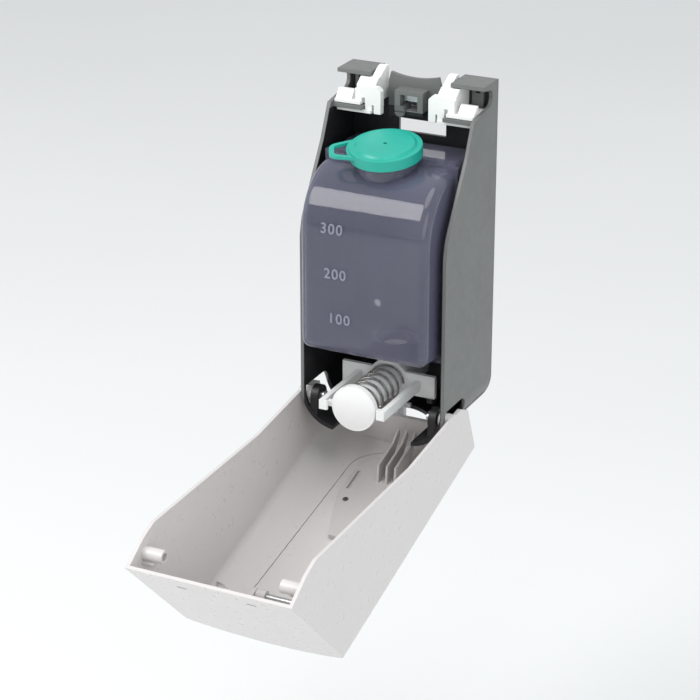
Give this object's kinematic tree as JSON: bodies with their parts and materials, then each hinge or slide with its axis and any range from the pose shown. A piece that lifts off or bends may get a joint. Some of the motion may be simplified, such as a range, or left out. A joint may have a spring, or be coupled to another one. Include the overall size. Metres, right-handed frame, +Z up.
{
  "type": "wall mounted soap dispenser",
  "caption": "Wall soap dispenser with its cover hinged open below, a capped refill bottle and a spring pump with a push button.",
  "frame": {"origin": "on the wall face, on the centre line, in the middle of the four wall screw holes", "axes": "+Z up, +X right seen from the front, +Y into the wall; the front faces -Y"},
  "size_m": [0.086, 0.2293, 0.2433],
  "materials": {
    "housing_grey": "satin mid grey moulded plastic",
    "cover_shell": "warm off-white moulded plastic",
    "press_grey": "satin light grey moulded plastic",
    "latch_white": "white moulded plastic",
    "pump_white": "white moulded plastic",
    "cap_teal": "soft teal plastic",
    "bottle_clear": "clear plastic with a violet-blue tint",
    "outlet_clear": "clear moulded plastic",
    "nozzle_clear": "translucent plastic",
    "gasket_rubber": "soft light grey rubber",
    "hook_steel": "bent sheet steel",
    "screw_white": "moulded screw",
    "pin_steel": "ground steel",
    "spring_steel": "dark spring wire"
  },
  "bodies": {
    "base": {"housing": "housing_grey", "wall_hook": "hook_steel", "hook_screw": "screw_white", "hinge_pin_left": "pin_steel", "hinge_pin_right": "pin_steel", "bottle_front": "bottle_clear", "bottle_rear": "bottle_clear", "bottle_outlet": "outlet_clear", "pump_body": "pump_white", "inlet_ball": "pin_steel", "nozzle": "nozzle_clear", "socket_seal": "gasket_rubber", "return_spring": "spring_steel", "cap_gasket": "gasket_rubber"},
    "cover_body": {"cover": "cover_shell", "panel_pin": "pin_steel"},
    "panel_body": {"push_panel": "cover_shell", "press_plate": "press_grey", "plate_screw": "pin_steel"},
    "button_body": {"push_button": "pump_white", "plunger": "pump_white", "piston_seal": "gasket_rubber"},
    "latch_left_body": {"latch_left": "latch_white"},
    "latch_right_body": {"latch_right": "latch_white"},
    "cap_body": {"cap": "cap_teal"}
  },
  "joints": [
    {"name": "cover_hinge", "type": "hinge", "parent": "base", "child": "cover_body", "pos_m": [0, -0.054, -0.073], "axis": [1, 0, 0], "range_deg": [-111.5, 0]},
    {"name": "panel_hinge", "type": "hinge", "parent": "cover_body", "child": "panel_body", "pos_m": [0, -0.15153, -0.13768], "axis": [1, 0, 0], "range_deg": [0, 5], "stiffness_Nm_per_rad": 0.6, "springref_deg": -2.86},
    {"name": "button_slide", "type": "slide", "parent": "base", "child": "button_body", "axis": [0, 1, 0], "range_m": [0, 0.014], "stiffness_N_per_m": 400, "springref_m": -0.004, "deforming": ["return_spring"]},
    {"name": "latch_left_slide", "type": "slide", "parent": "base", "child": "latch_left_body", "axis": [1, 0, 0], "range_m": [0, 0.0025], "stiffness_N_per_m": 600, "springref_m": -0.001},
    {"name": "latch_right_slide", "type": "slide", "parent": "base", "child": "latch_right_body", "axis": [-1, 0, 0], "range_m": [0, 0.0025], "stiffness_N_per_m": 600, "springref_m": -0.001},
    {"name": "cap_lift", "type": "slide", "parent": "base", "child": "cap_body", "axis": [0, -0.1702, 0.9854], "range_m": [0, 0.012]}
  ]
}
